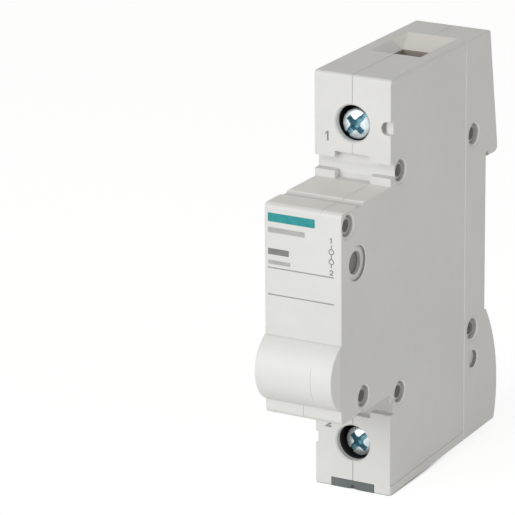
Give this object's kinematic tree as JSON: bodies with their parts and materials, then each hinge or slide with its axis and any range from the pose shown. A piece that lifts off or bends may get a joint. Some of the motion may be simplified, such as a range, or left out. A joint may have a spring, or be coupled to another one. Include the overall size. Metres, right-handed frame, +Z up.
{
  "type": "din rail through terminal pole",
  "caption": "Narrow rail-mounted through-terminal pole: two-shell moulded housing with a blank rounded bulge, screw clamps at both ends, copper bar inside and a sprung rail latch.",
  "frame": {"origin": "middle of the rail seat: mid width, in the rail's front plane, half way between the rail's two edges", "axes": "+Y out of the back towards the rail, -Y the front, +Z up, X across the module"},
  "size_m": [0.0178, 0.0748, 0.09],
  "materials": {
    "housing": "fine matt moulded",
    "rivet_steel": "dull rolled",
    "screw_zinc": "blue zinc plated",
    "cage_steel": "zinc plated strip",
    "copper": "bare copper strip",
    "latch_grey": "matt moulded",
    "spring_steel": "drawn wire"
  },
  "bodies": {
    "root": {"housing_left": "housing", "housing_right": "housing", "rivet_block_top": "rivet_steel", "rivet_rear_top": "rivet_steel", "rivet_nose_top": "rivet_steel", "rivet_nose_bottom": "rivet_steel", "rivet_block_bottom": "rivet_steel", "rivet_rear_bottom": "rivet_steel", "upper_clamp_cage": "cage_steel", "lower_clamp_cage": "cage_steel", "upper_terminal_bar": "copper", "lower_terminal_bar": "copper", "through_bar": "copper", "upper_bar_rivet": "copper", "lower_bar_rivet": "copper", "latch_spring": "spring_steel"},
    "upper_plate": {"upper_pressure_plate": "cage_steel"},
    "upper_screw": {"upper_terminal_screw": "screw_zinc"},
    "lower_plate": {"lower_pressure_plate": "cage_steel"},
    "lower_screw": {"lower_terminal_screw": "screw_zinc"},
    "latch": {"rail_latch": "latch_grey"}
  },
  "joints": [
    {"name": "upper_plate_slide", "type": "slide", "parent": "root", "child": "upper_plate", "axis": [0, 1, 0], "range_m": [0, 0.007]},
    {"name": "upper_screw_turn", "type": "hinge", "parent": "upper_plate", "child": "upper_screw", "pos_m": [0, -0.0413, 0.0333], "axis": [0, 1, 0], "range_deg": [0, 2520]},
    {"name": "lower_plate_slide", "type": "slide", "parent": "root", "child": "lower_plate", "axis": [0, 1, 0], "range_m": [-0.0014, 0.0056]},
    {"name": "lower_screw_turn", "type": "hinge", "parent": "lower_plate", "child": "lower_screw", "pos_m": [0, -0.0399, -0.0361], "axis": [0, 1, 0], "range_deg": [-504, 2016]},
    {"name": "latch_slide", "type": "slide", "parent": "root", "child": "latch", "axis": [0, 0, -1], "range_m": [0, 0.0035], "stiffness_N_per_m": 700, "springref_m": -0.003, "deforming": ["latch_spring"]}
  ],
  "couplings": [
    {"joint": "upper_screw_turn", "follows": "upper_plate_slide", "rad_per_m": 6283.2},
    {"joint": "lower_screw_turn", "follows": "lower_plate_slide", "rad_per_m": 6283.2}
  ]
}
